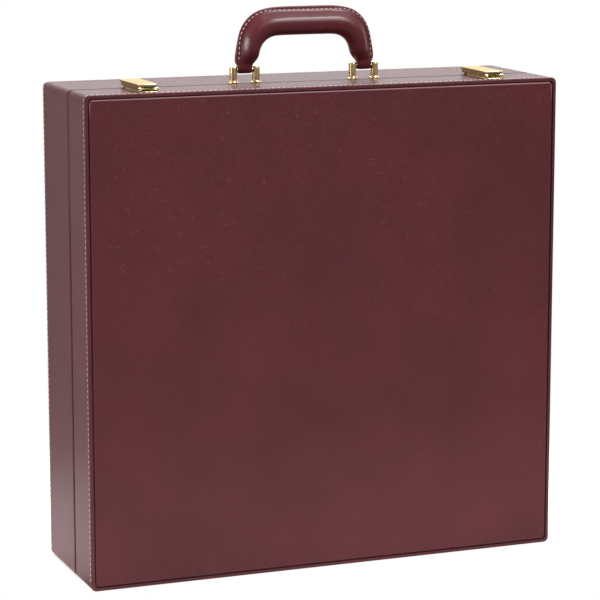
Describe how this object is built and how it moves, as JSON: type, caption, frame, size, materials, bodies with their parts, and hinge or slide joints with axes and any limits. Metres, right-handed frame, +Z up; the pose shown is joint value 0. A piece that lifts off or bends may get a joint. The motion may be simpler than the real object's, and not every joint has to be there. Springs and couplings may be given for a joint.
{
  "type": "chess box",
  "caption": "Leather-covered upright case for a chess set, with a hinged lid, a stitched carrying handle on posts, brass latches and lined compartments.",
  "frame": {"origin": "middle of the closed case's bottom face, on the surface it stands on", "axes": "+X to the right seen from the lid, +Y from the lid to the rear, +Z up towards the handle"},
  "size_m": [0.46, 0.134, 0.519],
  "materials": {
    "leather": "semi-gloss burgundy, fine grain",
    "brass": "polished pale gold",
    "steel": "plain",
    "frame_wood": "bare birch",
    "walnut": "satin walnut",
    "board_wood": "satin veneer in dark and light squares",
    "velvet": "dark red velvet",
    "padding": "padded dark red velvet"
  },
  "bodies": {
    "base": {"base_band_cover": "leather", "base_bottom_board": "frame_wood", "base_floor_lining": "velvet", "base_foot_cover": "leather", "base_left_board": "frame_wood", "base_rear_cover": "leather", "base_rear_panel": "frame_wood", "base_right_board": "frame_wood", "base_top_board": "frame_wood", "base_wall_lining": "velvet", "board_frame": "walnut", "button_screws": "brass", "column_divider_1": "walnut", "column_divider_2": "walnut", "column_divider_3": "walnut", "handle_nuts": "steel", "handle_pins": "brass", "handle_plate_left": "steel", "handle_plate_right": "steel", "handle_post_left_inner": "brass", "handle_post_left_outer": "brass", "handle_post_right_inner": "brass", "handle_post_right_outer": "brass", "hinge_leaf_base": "brass", "hinge_pin": "steel", "hinge_screws_base": "brass", "left_latch_strike": "brass", "playing_board": "board_wood", "right_latch_strike": "brass", "row_divider_1": "walnut", "row_divider_2": "walnut", "row_divider_3": "walnut", "strike_rivets": "brass"},
    "lid": {"hinge_leaf_lid": "brass", "hinge_screws_lid": "brass", "latch_pins": "brass", "latch_rivets": "brass", "left_latch_plate": "brass", "left_latch_spring": "steel", "lid_band_cover": "leather", "lid_bottom_board": "frame_wood", "lid_foot_cover": "leather", "lid_front_cover": "leather", "lid_front_panel": "frame_wood", "lid_left_board": "frame_wood", "lid_pad": "padding", "lid_right_board": "frame_wood", "lid_top_board": "frame_wood", "lid_wall_lining": "velvet", "right_latch_plate": "brass", "right_latch_spring": "steel"},
    "handle": {"handle_core": "steel", "handle_grip": "leather", "handle_welt": "leather"},
    "left_latch": {"left_latch_lever": "brass"},
    "right_latch": {"right_latch_lever": "brass"},
    "left_button": {"turn_button_left": "brass"},
    "right_button": {"turn_button_right": "brass"}
  },
  "joints": [
    {"name": "lid_hinge", "type": "hinge", "parent": "base", "child": "lid", "pos_m": [0, -0.015, 0.0024], "axis": [1, 0, 0], "range_deg": [0, 110]},
    {"name": "handle_pivot", "type": "hinge", "parent": "base", "child": "handle", "pos_m": [0, -0.007, 0.4622], "axis": [1, 0, 0], "range_deg": [-90, 90]},
    {"name": "left_latch_hinge", "type": "hinge", "parent": "lid", "child": "left_latch", "pos_m": [-0.169, -0.058, 0.453], "axis": [1, 0, 0], "range_deg": [0, 95]},
    {"name": "right_latch_hinge", "type": "hinge", "parent": "lid", "child": "right_latch", "pos_m": [0.169, -0.058, 0.453], "axis": [1, 0, 0], "range_deg": [0, 95]},
    {"name": "left_button_pivot", "type": "hinge", "parent": "base", "child": "left_button", "pos_m": [-0.2149, -0.0122, 0.225], "axis": [0, 1, 0], "range_deg": [0, 90]},
    {"name": "right_button_pivot", "type": "hinge", "parent": "base", "child": "right_button", "pos_m": [0.2149, -0.0122, 0.225], "axis": [0, -1, 0], "range_deg": [0, 90]}
  ]
}
